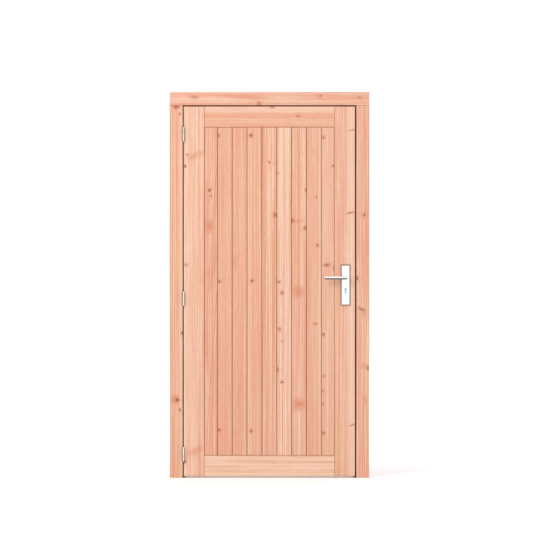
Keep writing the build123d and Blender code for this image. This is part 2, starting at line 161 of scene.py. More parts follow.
def new_paint(name):
    return Paint(bpy.data.materials.new(name))


def colour(red, green, blue):
    """A colour as the eye reads it, 0 to 255, in the linear light that shaders use."""
    linear = [(part / 255 / 12.92 if part < 11 else ((part / 255 + 0.055) / 1.055) ** 2.4)
              for part in (red, green, blue)]
    return (*linear, 1.0)


print("a mid grey of 128 is", round(colour(128, 128, 128)[0], 3), "in linear light")

# %% [markdown]
# ## Wood that runs through the timber
#
# A plank is cut from a tree, so its pattern is a slice through rings that surround the pith. The
# shader works the same way: it measures how far each point lies from a pith line, turns that
# distance into yearly rings, and lets the surface cut them. End grain, edges and faces then agree
# by themselves. The pith lies behind the board for wide arches, and beside it for straight lines.

# %% Colours of fresh red-hearted softwood
SAPWOOD = colour(254, 216, 191)
HEARTWOOD = colour(235, 167, 133)
LATEWOOD = colour(214, 136, 103)
STRAW = colour(236, 192, 148)
ROSE = colour(244, 169, 152)
AMBER = colour(224, 145, 112)
KNOT = colour(186, 112, 82)
KNOT_HEART = colour(140, 76, 52)
END_GRAIN = colour(205, 139, 107)
FIBRE_SHADE = colour(206, 134, 107)
CUT_EDGE_AND_SHADE = colour(150, 84, 50)
RED_VEIN = colour(212, 122, 98)
# Painted shade in the stops' corner and along the gap's edges, and painted shadow round the plate
CORNER_SHADE = colour(104, 46, 12)
GAP_EDGE_SHADE = colour(96, 40, 10)
FITTING_SHADOW = colour(128, 92, 70)

RING_DEPTH = 0.00025
SWIRL = 0.014
SEAM_WIDTH = 0.0018
FITTING_SHADOW_WIDTH = 0.009
GAP_EDGE_WIDTH = 0.0021
DRIFT, WAVER = 0.010, 0.0015
KNOT_PUSH = 0.010
print("timber runs from", SAPWOOD[:3], "to", KNOT_HEART[:3])


# %% Place and turn the grain on one timber
def grain_axes(paint, node, lies):
    """Coordinates across, through and along the timber, from its middle, and their matrix."""
    low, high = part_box(node)
    middle = (low + high) / 2
    turn = Matrix.Rotation(-math.pi / 2, 4, "Y") if lies else Matrix.Identity(4)
    shift = turn @ -middle
    spot = paint.node("ShaderNodeTexCoord", output="Object")
    sockets = {"Vector": spot, "Location": shift, "Rotation": turn.to_euler()}
    place = paint.node("ShaderNodeMapping", {"vector_type": "POINT"}, sockets)
    return place, Matrix.Translation(shift) @ turn


# %% [markdown]
# ### Knots
#
# A knot is a branch that the plank cuts across. Each one is a place with a width, a height and a
# tilt, and a Mapping node of the texture type turns that into a distance that is 1 at the rim. The
# nearest distance draws the ring of the knot, and the same distance pushes the grain aside. A
# little noise stirs the coordinates first, because no knot is a plain oval.


# %% Knots as a distance to the nearest one
def knot_field(paint, place, matrix, knots):
    """The distance to the nearest knot, where 1 is its rim, and how dark the knots make each point."""
    nearest = darkest = None
    for x, z, wide, tall, tilt, strength in knots:
        centre = matrix @ Vector((x, 0, z))
        across, along = (wide, tall) if matrix[0][0] > 0.5 else (tall, wide)
        sockets = {"Vector": place, "Location": (centre.x, 0, centre.z),
                   "Rotation": (0, math.radians(tilt), 0), "Scale": (across, 1, along)}
        local = paint.node("ShaderNodeMapping", {"vector_type": "TEXTURE"}, sockets)
        away = paint.node("ShaderNodeVectorMath", {"operation": "LENGTH"}, {0: local}, output="Value")
        dark = paint.step(away, 1.65, 0.25) * strength
        nearest = away if nearest is None else away.math("MINIMUM", nearest, away)
        darkest = dark if darkest is None else dark.math("MAXIMUM", darkest, dark)
    return nearest, darkest


# %% Grain that swirls near a knot
def swirled(paint, place):
    """The place, stirred a little, so that knots are not plain ovals."""
    curl = paint.node("ShaderNodeTexNoise", None, {"Vector": place, "Scale": 75.0, "Detail": 1.0},
                      output="Color")
    curl = paint.node("ShaderNodeVectorMath", {"operation": "MULTIPLY_ADD"},
                      {0: curl, 1: (SWIRL, SWIRL, SWIRL), 2: (-SWIRL / 2, -SWIRL / 2, -SWIRL / 2)})
    return paint.node("ShaderNodeVectorMath", {"operation": "ADD"}, {0: place, 1: curl})


# %% [markdown]
# ### Rings and streaks
#
# Each year adds pale early wood and a thin dark line of late wood, some years more than others. On
# a planed face these lines run into streaks, so noise that is stretched a long way along the grain
# mixes sapwood with heartwood, and slower noise drifts towards straw yellow or rose.


# %% Yearly rings round the pith
def late_wood(paint, place, bend, seed, pith, lean, ring):
    """How far each point lies in the dark late wood of its year."""
    across, depth, along = paint.split(place)
    side = across - pith[0] - along * lean[0]
    back = depth - pith[1] - along * lean[1]
    year = (side.math("SQRT", side * side + back * back) + bend) / ring
    part = year.math("FRACT", year)
    count = year.math("FLOOR", year) + seed * 11
    strength = paint.node("ShaderNodeTexWhiteNoise", {"noise_dimensions": "1D"}, {"W": count})
    return paint.step(part, 0.35, 0.88) * paint.step(part, 1.0, 0.92) * (strength * 0.9 + 0.25)


# %% Streaks of red, straw and rose along the grain
def streaked(paint, place, flow, bend, seed, late, tone, stripe, rose, straw, line, vein, sap):
    """The wood's colour before knots and edges."""
    band = paint.step(paint.noise(flow, (175, 175, 0.9), seed + 0.7, detail=1), 0.32, 0.68) - 0.5
    thread = paint.noise(flow, (230, 230, 5), seed + 2.3, detail=2) - 0.5
    cloud = paint.noise(flow, (16, 16, 2.4), seed + 1.9) - 0.5
    hue = paint.noise(flow, (30, 30, 2.6), seed + 3.7) + thread * 0.3
    mottle = paint.noise(place, (60, 60, 26), seed + 5.3) - 0.5
    warmth = tone + band * (stripe * 1.4) + thread * (0.4 + stripe) + cloud * 0.35 + mottle * 0.45
    shade = paint.mix(warmth, SAPWOOD, HEARTWOOD)
    if sap:
        start, width = sap
        across = paint.split(place)[0]
        pale = paint.step(across + bend * 0.7, start, start + width)
        shade = paint.mix(pale * 0.65, shade, SAPWOOD)
    shade = paint.mix(late * line, shade, vein)
    shade = paint.mix(paint.step(hue, 0.5, 0.75) * straw, shade, STRAW)
    return paint.mix(paint.step(hue, 0.5, 0.25) * rose, shade, ROSE)


# %% [markdown]
# ### Painted shade and seams
#
# Along the gap the edges get a painted brown shade line, round a fitting the wood gets a painted
# shadow, and a joint shows as a thin line. Each of these follows the shape of the door, so it is
# measured from the boxes of the pieces and not placed by hand.


# %% Painted shade along the gap, painted shadow round a fitting, and seams
def shade_gap_edges(paint, shade, outline, frontal):
    """A painted shade line on the faces, along the edges of an outline, beside the gap."""
    low, high = outline
    middle, half = (low + high) / 2, (high - low) / 2
    spot = paint.split(paint.node("ShaderNodeTexCoord", output="Object"))
    x_in, z_in = (half[axis] - spot[axis].math("ABSOLUTE", spot[axis] - middle[axis]) for axis in (0, 2))
    nearest = x_in.math("MINIMUM", x_in, z_in)
    arris = paint.step(nearest.math("ABSOLUTE", nearest), GAP_EDGE_WIDTH, GAP_EDGE_WIDTH * 0.7)
    on_face = paint.step(frontal.math("ABSOLUTE", frontal), 0.5, 0.9)
    return paint.mix(arris * on_face * 0.9, shade, GAP_EDGE_SHADE)


def shadow_round_fitting(paint, shade, fitting, place, matrix, fibre):
    """Painted shadow on the wood round a fitting."""
    low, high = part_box(fitting)
    middle, half = matrix @ ((low + high) / 2), (high - low) / 2
    across, _, along = paint.split(place)
    beside, above = across - middle.x, along - middle.z
    beside = beside.math("MAXIMUM", beside.math("ABSOLUTE", beside) - half.x, 0.0)
    above = above.math("MAXIMUM", above.math("ABSOLUTE", above) - half.z, 0.0)
    outside = beside.math("SQRT", beside * beside + above * above)
    return paint.mix(paint.step(outside, FITTING_SHADOW_WIDTH, 0.0005) * (0.9 - fibre * 0.3), shade, FITTING_SHADOW)


def seamed(paint, shade, along, butt):
    """A thin line where another timber butts against this one."""
    away = along - butt
    seam = paint.step(away.math("ABSOLUTE", away), SEAM_WIDTH, SEAM_WIDTH / 2)
    return paint.mix(seam * 0.8, shade, CUT_EDGE_AND_SHADE)


# %% [markdown]
# ### One timber
#
# The parts come together here. The grain is bent first, then coloured, then marked by knots, and
# last by painted shade and seams. Long faces, flanks and sawn ends differ, and the normal tells
# which is which; the flanks are darkened, partly as the colour of a cut edge and partly as painted
# shade in the V-joints and gaps. The same fibres give the roughness and a very shallow bump.


# %% The finish of one timber
def timber(node, lies=False, tone=0.6, stripe=0.5, rose=0.4, straw=0.5, pith=(0.2, 0.12), lean=(0.0, 0.0),
           ring=0.005, line=0.4, vein=LATEWOOD, wander=0.006, sap=None, edge=0.35, corner_shade_side=0, gloss=0.35,
           knots=(), flares=(), butts=(), fitting=None, outline=None):
    paint = new_paint(node + "_wood")
    seed = 1.7 * (1 + sorted(nodes).index(node))
    place, matrix = grain_axes(paint, node, lies)
    across, _, along = paint.split(place)

    drift = paint.noise(place, (5, 5, 1.6), seed, detail=1) - 0.5
    waver = paint.noise(place, (60, 60, 9), seed + 0.3) - 0.5
    bend = drift * DRIFT + waver * WAVER
    curled = swirled(paint, place) if knots or flares else None
    if knots:
        near, dark = knot_field(paint, curled, matrix, knots)
        halo = near.math("EXPONENT", near * near * -0.25)
        bend = bend + halo * KNOT_PUSH
    shift = paint.node("ShaderNodeCombineXYZ", None, {"X": bend})
    flow = paint.node("ShaderNodeVectorMath", {"operation": "ADD"}, {0: place, 1: shift})

    late = late_wood(paint, place, bend * (wander / 0.008), seed, pith, lean, ring)
    fibre = paint.noise(place, (800, 800, 14), seed + 1.1)
    shade = streaked(paint, place, flow, bend, seed, late, tone, stripe, rose, straw, line, vein, sap)
    shade = paint.mix(paint.step(fibre, 0.5, 0.75) * 0.25, shade, FIBRE_SHADE)
    if flares:
        glow = knot_field(paint, curled, matrix, flares)[1]
        ripple = paint.noise(curled, (20, 20, 130), seed + 4.1)
        shade = paint.mix(glow * (0.4 + ripple), shade, AMBER)
    if knots:
        shade = paint.mix(halo * dark.math("MINIMUM", dark + 0.25, 0.6), shade, AMBER)
        shade = paint.mix(dark, shade, paint.mix(paint.step(near, 0.8, 0.1), KNOT, KNOT_HEART))

    sideways, frontal, endways = paint.split(paint.node("ShaderNodeTexCoord", output="Normal"))
    if lies:
        sideways, endways = endways, sideways
    flank = paint.step(sideways.math("ABSOLUTE", sideways), 0.3, 0.65)
    end = paint.step(endways.math("ABSOLUTE", endways), 0.6, 0.9)
    # Flanks darkened, partly as the colour of a cut edge and partly as painted shade in the V-joints and
    # gaps
    shade = paint.mix(flank * edge, shade, CUT_EDGE_AND_SHADE)
    shade = paint.mix(end * 0.6, shade, END_GRAIN)
    # Painted shade on the stop's front face, in the corner behind the gap
    if corner_shade_side:
        corner = paint.step(across * corner_shade_side, 0.0, 0.002) * paint.step(frontal, -0.5, -0.9)
        shade = paint.mix(corner * 0.95, shade, CORNER_SHADE)
    # Painted shade line along the edges beside the gap
    if outline:
        shade = shade_gap_edges(paint, shade, outline, frontal)
    # Painted shadow on the wood round the fitting
    if fitting:
        shade = shadow_round_fitting(paint, shade, fitting, place, matrix, fibre)
    for butt in butts:
        shade = seamed(paint, shade, along, butt)

    paint.fill(paint.surface, {
        "Base Color": shade,
        "Roughness": 0.56 + fibre * 0.14 - late * 0.1 + end * 0.18,
        "Specular IOR Level": gloss,
        "Normal": paint.bump(fibre * 0.6 + late * 0.4, RING_DEPTH, 0.5),
    })
    return paint.owner


def dress(node, material):
    """Give one CAD piece its finish."""
    mesh = nodes[node].data
    mesh.materials.clear()
    mesh.materials.append(material)


# %% [markdown]
# ## Each timber as it was picked
#
# No two pieces of the door are alike, so each has its own recipe: how red it is, how striped,
# where its pith lay, and where its knots are. A knot is given as x, z, half width and half height
# in metres on the door, its tilt in degrees and its strength. A flare is a reddish patch round a
# knot that lies deeper in the wood. The stops get painted shade in the corner behind the gap, the
# edges along the gap get a painted brown shade line, and the wood round the plate on the lock
# stile gets a painted shadow.

# %% The frame's timbers
jamb_end = (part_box("hinge_jamb")[1].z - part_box("hinge_jamb")[0].z) / 2
opening = (Vector((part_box("hinge_jamb")[1].x, 0, -1)),
           Vector((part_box("lock_jamb")[0].x, 0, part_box("frame_head")[0].z)))
FRAME_WOOD = {
    "hinge_jamb": dict(
        tone=0.8, stripe=0.6, rose=0.5, straw=0.8, pith=(0.16, 0.10), ring=0.006,
        sap=(0.008, 0.012), edge=0.2, butts=[jamb_end],
        knots=[
            (0.035, 2.010, 0.018, 0.011, 0, 0.75), (0.054, 1.971, 0.006, 0.009, 0, 0.6),
            (0.067, 0.784, 0.007, 0.011, 0, 0.6), (0.040, 0.421, 0.010, 0.011, 0, 0.9),
            (0.054, 0.367, 0.005, 0.010, 0, 0.7),
        ],
        flares=[(0.030, 0.425, 0.026, 0.026, 0, 0.8)],
    ),
    "lock_jamb": dict(
        tone=0.75, stripe=0.92, rose=0.9, straw=0.7, pith=(-0.18, 0.09), ring=0.006, edge=0.2,
        butts=[jamb_end],
        knots=[
            (1.054, 1.424, 0.008, 0.009, 0, 0.5), (1.016, 1.082, 0.008, 0.010, 0, 0.65),
            (1.041, 0.913, 0.020, 0.007, 28, 0.7), (1.076, 0.595, 0.008, 0.011, 0, 0.7),
        ],
        flares=[
            (1.049, 0.885, 0.014, 0.02, 0, 0.5), (1.052, 0.606, 0.018, 0.016, 0, 0.6),
            (1.059, 0.42, 0.012, 0.03, 0, 0.6),
        ],
    ),
    "frame_head": dict(
        lies=True, tone=0.53, stripe=0.6, rose=0.5, straw=0.8, pith=(0.2, 0.10), lean=(0.03, 0.0),
        edge=0.2, outline=opening,
        knots=[
            (0.133, 2.063, 0.024, 0.008, 0, 0.45), (0.485, 2.028, 0.012, 0.010, 0, 0.55),
            (0.815, 2.069, 0.012, 0.007, 0, 0.45), (1.027, 2.058, 0.012, 0.007, 0, 0.3),
        ],
        flares=[(0.41, 2.063, 0.13, 0.011, 3, 0.7)],
    ),
    "hinge_stop": dict(tone=0.6, edge=0.1, corner_shade_side=-1, gloss=0.0),
    "lock_stop": dict(tone=0.6, pith=(-0.2, 0.12), edge=0.1, corner_shade_side=1, gloss=0.0),
    "head_stop": dict(lies=True, tone=0.6, edge=0.1, corner_shade_side=-1, gloss=0.0),
}
for node, recipe in FRAME_WOOD.items():
    dress(node, timber(node, **recipe))
print("frame timbers:", ", ".join(FRAME_WOOD))

# %% The leaf's stiles and rails
shoulder = (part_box("lock_stile")[0].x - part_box("hinge_stile")[1].x) / 2
LEAF_WOOD = {
    "hinge_stile": dict(
        tone=0.36, stripe=0.55, rose=0.25, straw=0.8, pith=(0.35, 0.05), ring=0.009, line=0.35,
        wander=0.004,
        knots=[
            (0.094, 1.752, 0.010, 0.006, 0, 0.3), (0.082, 1.689, 0.006, 0.007, 0, 0.9),
            (0.088, 1.153, 0.009, 0.008, 0, 0.35), (0.081, 0.086, 0.006, 0.008, 0, 0.8),
        ],
        flares=[(0.140, 1.747, 0.054, 0.018, -24, 0.6), (0.140, 0.145, 0.054, 0.018, -24, 0.55)],
    ),
    "lock_stile": dict(
        tone=0.57, stripe=0.5, rose=0.8, pith=(-0.3, 0.08), ring=0.009, line=0.3, wander=0.004,
        sap=(0.004, 0.02), fitting="front_plate",
        knots=[
            (0.988, 1.884, 0.016, 0.004, -6, 0.35), (0.978, 1.435, 0.020, 0.005, -8, 0.55),
            (0.989, 0.286, 0.016, 0.004, -12, 0.45),
        ],
    ),
    "top_rail": dict(
        lies=True, tone=0.78, stripe=0.25, rose=0.4, pith=(0.25, 0.06), lean=(0.05, 0.0),
        ring=0.008, line=0.2, sap=(-0.012, -0.02), butts=[-shoulder, shoulder],
        knots=[(0.696, 1.961, 0.012, 0.007, 0, 0.45), (0.555, 2.009, 0.010, 0.005, 0, 0.6)],
    ),
    "bottom_rail": dict(
        lies=True, tone=-0.1, stripe=1.0, rose=0.15, pith=(-0.28, 0.05), ring=0.009, line=0.25,
        wander=0.004, butts=[-shoulder, shoulder],
    ),
}
leaf_outline = (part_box("hinge_stile")[0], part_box("lock_stile")[1])
for node, recipe in LEAF_WOOD.items():
    dress(node, timber(node, outline=leaf_outline, **recipe))
print("stiles and rails:", ", ".join(LEAF_WOOD))

# %% The nine boards
BOARD_WOOD = {
    "board_1": dict(
        tone=0.68, stripe=0.5, rose=0.8, straw=0.3, pith=(0.075, 0.03), lean=(0.07, 0.0), line=0.65,
        ring=0.010, vein=RED_VEIN,
        knots=[(0.214, 1.559, 0.009, 0.010, 0, 0.8), (0.222, 1.528, 0.006, 0.007, 0, 0.5)],
        flares=[
            (0.214, 1.364, 0.022, 0.034, 0, 0.9), (0.240, 1.16, 0.012, 0.11, 8, 0.6),
            (0.212, 1.11, 0.010, 0.03, 0, 0.6), (0.202, 0.68, 0.009, 0.14, -2, 0.6),
        ],
    ),
    "board_2": dict(
        tone=0.73, stripe=0.18, pith=(0.15, 0.2), line=0.3,
        knots=[
            (0.263, 1.856, 0.007, 0.011, 0, 0.7), (0.268, 1.064, 0.009, 0.008, 0, 0.8),
            (0.266, 0.259, 0.007, 0.010, 0, 0.7),
        ],
    ),
    "board_3": dict(tone=0.74, stripe=0.35, straw=0.3, pith=(0.18, 0.16), line=0.3),
    "board_4": dict(
        tone=0.68, stripe=0.33, straw=0.3, line=0.35, sap=(-0.030, -0.01),
        knots=[
            (0.441, 1.856, 0.010, 0.010, 30, 0.75), (0.447, 1.066, 0.009, 0.008, 0, 0.8),
            (0.441, 0.253, 0.008, 0.010, 0, 0.75),
        ],
    ),
    "board_5": dict(
        tone=0.7, stripe=0.85, rose=0.25, straw=0.15, pith=(0.1, 0.06), lean=(0.01, 0.0), line=0.45,
        ring=0.006,
        knots=[(0.539, 1.711, 0.011, 0.006, 35, 0.55), (0.571, 1.424, 0.009, 0.014, 0, 0.75)],
    ),
    "board_6": dict(
        tone=0.28, stripe=0.82, rose=0.2, pith=(0.2, 0.1), ring=0.008,
        knots=[
            (0.588, 1.652, 0.006, 0.008, 0, 0.4), (0.591, 1.061, 0.008, 0.009, 0, 0.6),
            (0.609, 1.001, 0.009, 0.010, 0, 0.7), (0.593, 0.806, 0.007, 0.010, 0, 0.5),
            (0.613, 0.741, 0.006, 0.007, 0, 0.35), (0.586, 0.584, 0.007, 0.013, 0, 0.65),
            (0.609, 0.519, 0.009, 0.009, 0, 0.65),
        ],
    ),
    "board_7": dict(
        tone=0.52, stripe=0.65, rose=0.55, straw=0.25, pith=(0.12, 0.07), lean=(0.008, 0.0),
        line=0.5, ring=0.007,
        knots=[
            (0.739, 1.559, 0.006, 0.010, 0, 0.8), (0.664, 1.396, 0.009, 0.007, -12, 0.7),
            (0.734, 1.353, 0.008, 0.011, 0, 0.75),
        ],
        flares=[
            (0.690, 1.388, 0.040, 0.010, -10, 0.6), (0.696, 1.010, 0.030, 0.032, -8, 0.85),
            (0.701, 0.398, 0.034, 0.034, -8, 0.9),
        ],
    ),
    "board_8": dict(
        tone=0.75, stripe=0.28, straw=0.35, pith=(0.18, 0.18), line=0.3, sap=(0.016, 0.012),
        knots=[
            (0.794, 1.521, 0.006, 0.008, 0, 0.45), (0.802, 1.261, 0.008, 0.010, 0, 0.75),
            (0.790, 0.833, 0.010, 0.006, 0, 0.6),
        ],
    ),
    "board_9": dict(
        tone=0.48, stripe=0.28, rose=0.5, pith=(0.16, 0.12),
        knots=[
            (0.833, 1.845, 0.008, 0.009, 0, 0.65), (0.884, 1.689, 0.006, 0.007, 0, 0.75),
            (0.850, 1.153, 0.020, 0.009, 0, 0.6), (0.889, 1.131, 0.006, 0.010, 0, 0.6),
            (0.832, 0.777, 0.008, 0.010, 0, 0.6), (0.832, 0.551, 0.007, 0.009, 0, 0.5),
            (0.828, 0.470, 0.006, 0.007, 0, 0.4), (0.831, 0.400, 0.006, 0.008, 0, 0.45),
            (0.833, 0.242, 0.008, 0.009, 0, 0.65),
        ],
    ),
}
for node, recipe in BOARD_WOOD.items():
    dress(node, timber(node, edge=0.48, **recipe))
print("boards:", len(BOARD_WOOD))

# %% [markdown]
# ## Metal fittings
#
# The levers and plates are satin anodised aluminium, the hinges and the lock are zinc plated
# steel, and the cylinder is satin nickel. All three are metal with a fine direction in it: brushing
# on the plates, drawing marks on the hinges, turning marks on the cylinder. The direction is noise
# that is stretched a long way along one axis, and it feeds the roughness and a very shallow bump.
# The sides of the hinge knuckles, the plate's bevel and the lever's underside get painted shade.


# %% One recipe for the metals
FRONT_SIDE = (0, -1, 0)


def metal(name, tint, stain, stretch, rough, spread, seed,
          rim=None, bright_side=FRONT_SIDE, proud_of=None, underside_shade=None):
    paint = new_paint(name)
    place = paint.node("ShaderNodeTexCoord", output="Object")
    brushed = paint.noise(place, stretch, seed)
    cloudy = paint.noise(place, (45, 45, 45), seed + 2, detail=3)
    shade = paint.mix(paint.step(cloudy, 0.35, 0.75) * 0.6 + brushed * 0.25, tint, stain)
    normal = paint.node("ShaderNodeTexCoord", output="Normal")
    # Painted shade: faces that turn away from the bright side take the rim colour, as on the hinge knuckles'
    # sides and the plate's bevel
    if rim:
        facing = paint.node("ShaderNodeVectorMath", {"operation": "DOT_PRODUCT"},
                            {0: normal, 1: bright_side}, output="Value")
        turned = paint.step(facing.math("ABSOLUTE", facing), 0.985, 0.72)
        if proud_of is not None:
            turned = turned * paint.step(paint.split(place)[1], proud_of, proud_of - 0.002)
        shade = paint.mix(turned, shade, rim)
    # Painted shade on the lever's underside, on faces that look down
    if underside_shade:
        upward = paint.split(normal)[2]
        shade = paint.mix(paint.step(upward, 0.05, -0.35) * (1 - cloudy * 0.2), shade, underside_shade)
    paint.fill(paint.surface, {
        "Base Color": shade,
        "Metallic": 1.0,
        "Roughness": rough + (brushed - 0.5) * spread + (cloudy - 0.5) * (spread * 0.6),
        "Normal": paint.bump(brushed, 0.00003, 0.4),
    })
    return paint.owner


# The plate's bevel, the hinge knuckles' sides and the lever's underside get painted shade
plate_finish = metal("satin_aluminium_plate", colour(246, 246, 246), colour(236, 236, 237),
                     (900, 900, 12), 0.34, 0.16, 3.1, rim=colour(188, 180, 174))
lever_finish = metal("satin_aluminium_lever", colour(242, 243, 244), colour(230, 231, 233),
                     (12, 900, 900), 0.27, 0.12, 5.3, underside_shade=colour(58, 57, 60))
leaf_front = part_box("hinge_stile")[0].y
hinge_finish = metal("zinc_plated_hinge", colour(244, 230, 217), colour(230, 215, 202),
                     (500, 500, 30), 0.2, 0.1, 7.9,
                     rim=colour(102, 94, 88), bright_side=(0.34, -0.94, 0), proud_of=leaf_front)
lock_finish = metal("zinc_plated_lock", colour(208, 208, 208), colour(180, 181, 184),
                    (500, 500, 20), 0.34, 0.2, 9.2)
nickel_finish = metal("satin_nickel", colour(188, 196, 200), colour(160, 168, 174),
                      (60, 700, 700), 0.26, 0.12, 4.4)

SLOT_FINISH = {"hinge_steel": hinge_finish, "lock_steel": lock_finish, "cylinder_metal": nickel_finish}
for part in frame["record"]["subparts"]:
    if part["material_slot"] in SLOT_FINISH:
        dress(part["node"], SLOT_FINISH[part["material_slot"]])
for face in ("front", "back"):
    dress(face + "_plate", plate_finish)
    dress(face + "_lever", lever_finish)
print("metal finishes:", ", ".join(SLOT_FINISH))

# %% [markdown]
# ## Screws that hold the fittings
#
# A flat-headed screw shows as a low disc with a cross in it. The disc starts as a cylinder: its top
# face is inset, every corner of the inset that lies between the arms is pulled to the middle, and
# the cross that is left is pushed down. One head is modelled, and each screw is a copy of it with
# its own mesh, moved to its place and turned a little differently, as a hand would leave it.


# %% Tools for edit mode
def start_piece(name):
    """Go into edit mode on the primitive that was just added, with nothing selected."""
    piece = bpy.context.object
    piece.name = piece.data.name = name
    bpy.ops.object.mode_set(mode="EDIT")
    bpy.ops.mesh.select_all(action="DESELECT")
    return piece


def pick(piece, kind, test):
    """Select only the faces, edges or corners that pass a test, and say how many."""
    bpy.ops.mesh.select_all(action="DESELECT")
    bpy.ops.mesh.select_mode(type={"faces": "FACE", "edges": "EDGE", "verts": "VERT"}[kind])
    shape = bmesh.from_edit_mesh(piece.data)
    chosen = [item for item in getattr(shape, kind) if test(item)]
    for item in chosen:
        item.select_set(True)
    shape.select_flush_mode()
    bmesh.update_edit_mesh(piece.data)
    return len(chosen)


def end_piece(piece, finish):
    """Leave edit mode with smooth shading and a finish."""
    bpy.ops.object.mode_set(mode="OBJECT")
    bpy.ops.object.shade_smooth_by_angle(angle=math.radians(35))
    piece.data.materials.append(finish)
    return piece


# %% One cross-headed screw
HEAD_RADIUS = 0.0037
HEAD_RISE = 0.0005
HEAD_SIDES = 24
CROSS_ARM = math.radians(20)

screw_finish = metal("zinc_plated_screw", colour(200, 199, 196), colour(172, 171, 168),
                     (600, 600, 600), 0.28, 0.2, 6.6)
bpy.ops.object.select_all(action="DESELECT")
bpy.ops.mesh.primitive_cylinder_add(vertices=HEAD_SIDES, radius=HEAD_RADIUS, depth=4 * HEAD_RISE,
                                    location=(0, 0, -HEAD_RISE))
screw = start_piece("screw_pattern")


def at_height(height):
    """A test for the faces, edges or corners that lie flat at a height."""
    return lambda item: all(abs(corner.co.z - height) < 1e-5 for corner in getattr(item, "verts", [item]))


on_top = at_height(HEAD_RISE)


def between_arms(corner):
    angle = math.atan2(corner.co.y, corner.co.x) % (math.pi / 2)
    inner = corner.co.xy.length < HEAD_RADIUS * 0.7
    return on_top(corner) and inner and CROSS_ARM < angle < math.pi / 2 - CROSS_ARM


pick(screw, "faces", on_top)
bpy.ops.mesh.inset(thickness=HEAD_RADIUS * 0.12, depth=0.0)
pick(screw, "edges", lambda rim: on_top(rim) and all(v.co.xy.length > HEAD_RADIUS * 0.98 for v in rim.verts))
bpy.ops.transform.translate(value=(0, 0, -HEAD_RISE * 0.7))
pick(screw, "faces", on_top)
bpy.ops.mesh.inset(thickness=HEAD_RADIUS * 0.33)
pulled = pick(screw, "verts", between_arms)
bpy.ops.transform.resize(value=(0.4, 0.4, 1), center_override=(0, 0, HEAD_RISE))
pick(screw, "faces", lambda face: on_top(face) and len(face.verts) == HEAD_SIDES)
bpy.ops.mesh.extrude_region_move(TRANSFORM_OT_translate={"value": (0, 0, -2 * HEAD_RISE)})
bpy.ops.transform.resize(value=(0.7, 0.7, 1), center_override=(0, 0, -HEAD_RISE))
end_piece(screw, screw_finish)
print("screw head with", len(screw.data.polygons), "faces,", pulled, "corners pulled in")


# %% Copies of a fastener, joined into one piece
def set_fasteners(name, pattern, spots, facing, body):
    """Copies of a pattern at each spot, looking along facing, as one piece on a body."""
    bpy.ops.object.select_all(action="DESELECT")
    look = Vector(facing).to_track_quat("Z", "Y").to_matrix().to_4x4()
    for number, spot in enumerate(spots):
        copy = bpy.data.objects.new(name, pattern.data.copy())
        turn = Matrix.Rotation(math.radians(17 + 53 * number), 4, "Z")
        copy.data.transform(Matrix.Translation(spot) @ look @ turn)
        bpy.context.scene.collection.objects.link(copy)
        copy.select_set(True)
        bpy.context.view_layer.objects.active = copy
    if len(spots) > 1:
        bpy.ops.object.join()
    piece = bpy.context.object
    piece.name = piece.data.name = name
    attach(piece, body)
    return piece


# %% Screws in the hinges
SCREW_SPREAD = 0.025
SCREW_STAGGER = 0.0045

for place in ("top", "middle", "bottom"):
    for side, facing, face in (("jamb", (1, 0, 0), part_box("hinge_jamb")[1].x),
                               ("leaf", (-1, 0, 0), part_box("hinge_stile")[0].x)):
        low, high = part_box(f"{place}_hinge_{side}_plate")
        middle = (leaf_front + high.y) / 2
        height = (low.z + high.z) / 2
        spots = [(face, middle + SCREW_STAGGER * (1 - 2 * (step % 2)), height + SCREW_SPREAD * (step - 1))
                 for step in range(3)]
        set_fasteners(f"{place}_hinge_{side}_screws", screw, spots, facing,
                      "frame" if side == "jamb" else "leaf")
print("hinge screws:", 3 * 2 * 3)

# %% Screws in the lock, the strike and the back plate
FOREND_MARGIN, STRIKE_MARGIN, PLATE_MARGIN = 0.009, 0.010, 0.012

leaf_middle = (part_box("lock_stile")[0].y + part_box("lock_stile")[1].y) / 2
low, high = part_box("lock_case")
spots = [(high.x, leaf_middle, z) for z in (high.z - FOREND_MARGIN, low.z + FOREND_MARGIN)]
set_fasteners("lock_screws", screw, spots, (1, 0, 0), "leaf")
low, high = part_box("strike_plate")
spots = [(low.x, leaf_middle, z) for z in (high.z - STRIKE_MARGIN, low.z + STRIKE_MARGIN)]
set_fasteners("strike_screws", screw, spots, (-1, 0, 0), "frame")
low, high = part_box("back_plate")
plate_middle = (low.x + high.x) / 2
spots = [(plate_middle, high.y, z) for z in (high.z - PLATE_MARGIN, low.z + PLATE_MARGIN)]
set_fasteners("back_plate_screws", screw, spots, (0, 1, 0), "leaf")
print("lock, strike and back plate screws:", 3 * len(spots))

# %% [markdown]
# ## Small fixings out of sight
#
# A grub screw under each lever's neck holds it on the square spindle, and lost-head nails hold the
# stops to the frame. The grub screw's socket starts as a ring of twelve corners. Pulling in every
# second one to the middle of its side makes a true hexagon, which is pushed down. The nail's head
# only gets the dimple that the punch leaves.

# %% One grub screw and one nail head
GRUB_RADIUS = 0.0022
NAIL_RADIUS = 0.0016
PROUD = 0.0003
STEM = 0.003


def add_disc(name, sides, radius):
    """A short stem with its flat top just proud of height 0."""
    bpy.ops.object.select_all(action="DESELECT")
    bpy.ops.mesh.primitive_cylinder_add(vertices=sides, radius=radius, depth=STEM,
                                        location=(0, 0, PROUD - STEM / 2))
    return start_piece(name)


socket_top = at_height(PROUD)


def mid_side(corner):
    """Every second corner of the socket's ring of twelve."""
    twelfth = round(math.degrees(math.atan2(corner.co.y, corner.co.x)) / 30)
    return socket_top(corner) and corner.co.xy.length < GRUB_RADIUS * 0.8 and twelfth % 2 == 1


